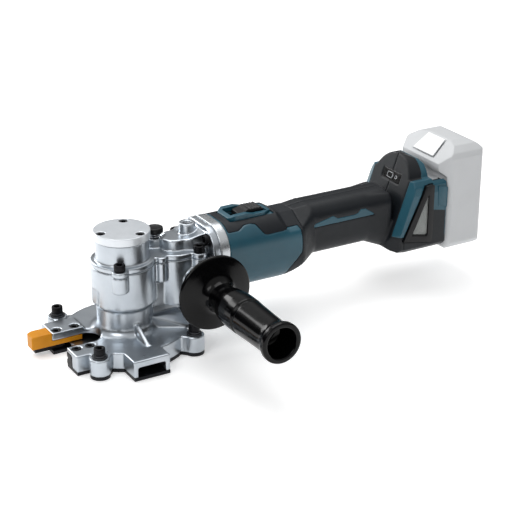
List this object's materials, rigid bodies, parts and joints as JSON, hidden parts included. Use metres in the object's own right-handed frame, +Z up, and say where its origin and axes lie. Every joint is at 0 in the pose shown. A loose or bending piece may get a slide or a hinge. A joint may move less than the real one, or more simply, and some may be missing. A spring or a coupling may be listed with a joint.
{
  "type": "cordless rod flush cutter",
  "caption": "Battery tool that cuts steel rod flush with a surface: cast foot with two jaws over a horizontal saw disc, upright gear head, motor body, side grip and slide-on pack",
  "frame": {"origin": "the blade spindle's axis on the underside of the sole plate, which rests on the table", "axes": "+Z up along the spindle, +X rearward toward the handle and the battery pack, +Y to the left-hand side seen from behind the jaws, so the side grip points along -Y"},
  "size_m": [0.445, 0.224, 0.1379],
  "materials": {
    "cast_aluminium": "satin",
    "sole_steel": "satin",
    "black_oxide_steel": "satin",
    "bright_steel": "satin",
    "gear_steel": "satin",
    "blade_steel": "satin",
    "orange_paint": "satin",
    "guide_black": "matte",
    "washer_steel": "satin",
    "seal_rubber": "matte",
    "teal_plastic": "satin",
    "dark_overmould": "matte",
    "dark_plastic": "matte",
    "black_plastic": "matte",
    "gloss_black": "gloss",
    "fan_plastic": "matte",
    "lamination_steel": "satin",
    "stator_steel": "satin",
    "spring_steel": "polished",
    "controller_resin": "matte",
    "pack_plastic": "satin",
    "pack_button": "satin",
    "cell_sleeve": "satin"
  },
  "bodies": {
    "root": {"sole_plate": "sole_steel", "gear_housing": "cast_aluminium", "housing_cover": "cast_aluminium", "top_cap": "cast_aluminium", "top_cap_screws": "black_oxide_steel", "cover_bolts": "black_oxide_steel", "cover_dowels": "bright_steel", "base_bolts": "black_oxide_steel", "base_bolt_washers": "washer_steel", "rod_guide_block": "orange_paint", "rod_guide_bar": "guide_black", "jaw_insert": "guide_black", "jaw_screws": "black_oxide_steel", "spindle_lower_bearing": "bright_steel", "spindle_upper_bearing": "bright_steel", "spindle_oil_seal": "seal_rubber", "idler_pin": "bright_steel", "idler_retaining_ring": "washer_steel", "intermediate_bearings": "bright_steel", "rotor_front_bearing": "bright_steel", "rotor_rear_bearing": "bright_steel", "stator": "stator_steel", "motor_flange": "cast_aluminium", "flange_screws": "black_oxide_steel", "motor_housing": "teal_plastic", "motor_overmould": "dark_overmould", "handle_left": "dark_plastic", "handle_right": "dark_plastic", "handle_screws": "black_oxide_steel", "handle_inlays": "teal_plastic", "rear_collar": "teal_plastic", "indicator_panel": "gloss_black", "switch_bezel": "teal_plastic", "switch_unit": "black_plastic", "controller": "controller_resin", "terminal_block": "black_plastic", "shaft_lock_spring": "spring_steel"},
    "spindle_body": {"spindle": "bright_steel", "spindle_gear": "gear_steel", "saw_blade": "blade_steel", "inner_flange": "bright_steel", "outer_flange": "bright_steel", "blade_bolt": "black_oxide_steel"},
    "idler_body": {"idler_gear": "gear_steel"},
    "intermediate_body": {"intermediate_shaft": "bright_steel", "crown_gear": "gear_steel"},
    "rotor_body": {"rotor_shaft": "bright_steel", "rotor_core": "lamination_steel", "bevel_pinion": "gear_steel", "cooling_fan": "fan_plastic"},
    "shaft_lock_body": {"shaft_lock_button": "black_plastic"},
    "switch_body": {"switch_knob": "black_plastic", "switch_rod": "black_plastic"},
    "side_grip_body": {"side_grip": "gloss_black", "side_grip_stud": "bright_steel"},
    "battery_body": {"battery_case": "pack_plastic", "battery_cells": "cell_sleeve"},
    "battery_button_body": {"battery_release_button": "pack_button"},
    "dust_cover_left_body": {"dust_cover_left": "black_plastic"},
    "dust_cover_right_body": {"dust_cover_right": "black_plastic"}
  },
  "joints": [
    {"name": "spindle_spin", "type": "hinge", "parent": "root", "child": "spindle_body", "pos_m": [0, 0, 0.05], "axis": [0, 0, 1], "continuous": true},
    {"name": "idler_spin", "type": "hinge", "parent": "root", "child": "idler_body", "pos_m": [0.03125, 0, 0.05], "axis": [0, 0, 1], "continuous": true},
    {"name": "intermediate_spin", "type": "hinge", "parent": "root", "child": "intermediate_body", "pos_m": [0.05, 0, 0.05], "axis": [0, 0, 1], "continuous": true},
    {"name": "rotor_spin", "type": "hinge", "parent": "root", "child": "rotor_body", "pos_m": [0.1, 0, 0.07], "axis": [1, 0, 0], "continuous": true},
    {"name": "shaft_lock_press", "type": "slide", "parent": "root", "child": "shaft_lock_body", "axis": [0, 0, -1], "range_m": [0, 0.0035], "stiffness_N_per_m": 600, "deforming": ["shaft_lock_spring"]},
    {"name": "switch_slide", "type": "slide", "parent": "root", "child": "switch_body", "axis": [-1, 0, 0], "range_m": [0, 0.008]},
    {"name": "side_grip_turn", "type": "hinge", "parent": "root", "child": "side_grip_body", "pos_m": [0.0595, -0.1, 0.0585], "axis": [0, -1, 0], "continuous": true},
    {"name": "battery_lift", "type": "slide", "parent": "root", "child": "battery_body", "axis": [0, 0, 1], "range_m": [0, 0.1]},
    {"name": "battery_button_press", "type": "slide", "parent": "battery_body", "child": "battery_button_body", "axis": [0.6247, 0, -0.7809], "range_m": [0, 0.0015], "stiffness_N_per_m": 800},
    {"name": "dust_cover_left_pull", "type": "slide", "parent": "root", "child": "dust_cover_left_body", "axis": [0, -1, 0], "range_m": [0, 0.025]},
    {"name": "dust_cover_right_pull", "type": "slide", "parent": "root", "child": "dust_cover_right_body", "axis": [0, 1, 0], "range_m": [0, 0.025]}
  ],
  "couplings": [
    {"joint": "idler_spin", "follows": "spindle_spin", "ratio": -2.5714},
    {"joint": "intermediate_spin", "follows": "spindle_spin", "ratio": 2.25},
    {"joint": "rotor_spin", "follows": "spindle_spin", "ratio": 5.1429}
  ]
}
